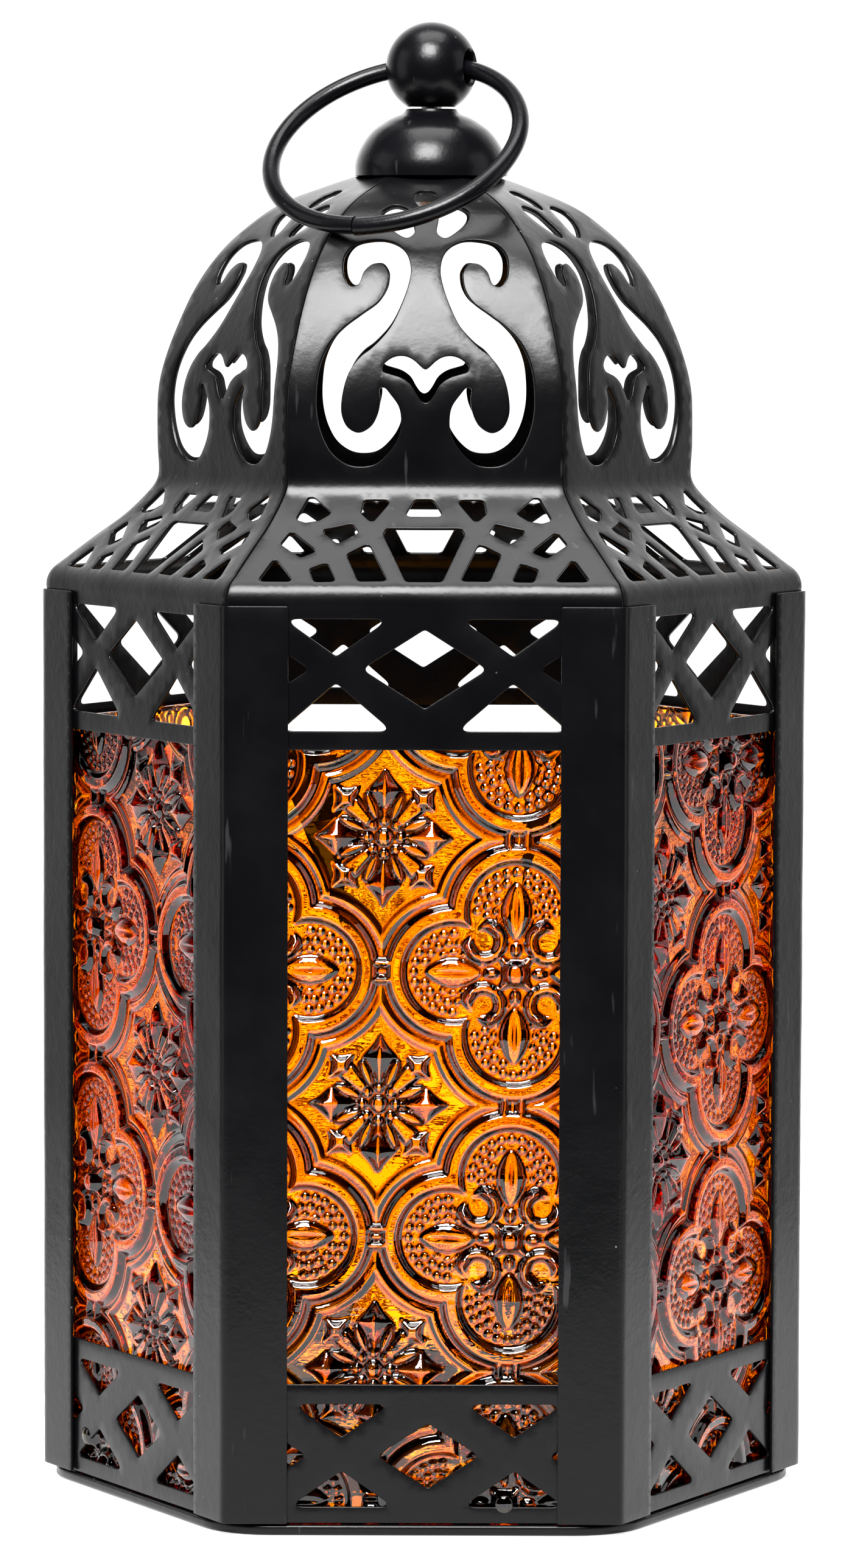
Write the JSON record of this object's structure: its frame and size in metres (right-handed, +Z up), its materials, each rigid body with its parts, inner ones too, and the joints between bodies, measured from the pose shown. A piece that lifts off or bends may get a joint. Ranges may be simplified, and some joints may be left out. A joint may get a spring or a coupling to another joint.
{
  "type": "hexagonal metal lantern",
  "caption": "Hexagonal candle lantern of pierced black sheet metal with amber pressed-glass panes, a hinged glazed door, an onion-shaped pierced roof, a ball finial and a carrying ring.",
  "frame": {"origin": "centre of the base tray's underside, on the surface the lantern stands on", "axes": "+Z up through the finial; -Y out of the front pane; +Y out of the door; +X to the right seen from the front"},
  "size_m": [0.1394, 0.1246, 0.2671],
  "materials": {
    "black_sheet": "satin black powder coat on mild steel sheet",
    "black_cast": "satin black powder coat on spun and turned metal",
    "amber_glass": "pressed amber glass, patterned outside and smooth inside",
    "zinc_steel": "zinc plated"
  },
  "bodies": {
    "lantern": {"base_tray": "black_sheet", "candle_cup": "zinc_steel", "cap": "black_cast", "corner_post_1": "black_sheet", "corner_post_2": "black_sheet", "corner_post_3": "black_sheet", "corner_post_4": "black_sheet", "corner_post_5": "black_sheet", "corner_post_6": "black_sheet", "crown_plate": "black_sheet", "crown_washer": "zinc_steel", "finial_ball": "black_cast", "finial_screw": "zinc_steel", "glass_pane_1": "amber_glass", "glass_pane_2": "amber_glass", "glass_pane_3": "amber_glass", "glass_pane_4": "amber_glass", "glass_pane_5": "amber_glass", "hinge_lug_lower": "black_sheet", "hinge_lug_upper": "black_sheet", "hinge_rod": "zinc_steel", "lower_band_1": "black_sheet", "lower_band_2": "black_sheet", "lower_band_3": "black_sheet", "lower_band_4": "black_sheet", "lower_band_5": "black_sheet", "pane_clip_1_left": "black_sheet", "pane_clip_1_right": "black_sheet", "pane_clip_2_left": "black_sheet", "pane_clip_2_right": "black_sheet", "pane_clip_3_left": "black_sheet", "pane_clip_3_right": "black_sheet", "pane_clip_4_left": "black_sheet", "pane_clip_4_right": "black_sheet", "pane_clip_5_left": "black_sheet", "pane_clip_5_right": "black_sheet", "pane_retainer": "black_sheet", "roof_panel_1": "black_sheet", "roof_panel_2": "black_sheet", "roof_panel_3": "black_sheet", "roof_panel_4": "black_sheet", "roof_panel_5": "black_sheet", "roof_panel_6": "black_sheet"},
    "ring": {"carry_ring": "black_cast"},
    "door": {"door_clip_free_side": "black_sheet", "door_clip_hinge_side": "black_sheet", "door_glass": "amber_glass", "door_lower_band": "black_sheet", "door_rivet_left": "zinc_steel", "door_rivet_right": "zinc_steel", "door_snap_tab": "black_sheet", "door_stile_free_side": "black_sheet", "door_stile_hinge_side": "black_sheet", "door_top_rail": "black_sheet"}
  },
  "joints": [
    {"name": "ring_swing", "type": "hinge", "parent": "lantern", "child": "ring", "pos_m": [0.001, 0, 0.2588], "axis": [-0.9272, 0.3746, 0], "range_deg": [0, 258]},
    {"name": "door_hinge", "type": "hinge", "parent": "lantern", "child": "door", "pos_m": [-0.0303, 0.0624, 0.068], "axis": [0, 0, 1], "range_deg": [0, 160]}
  ]
}
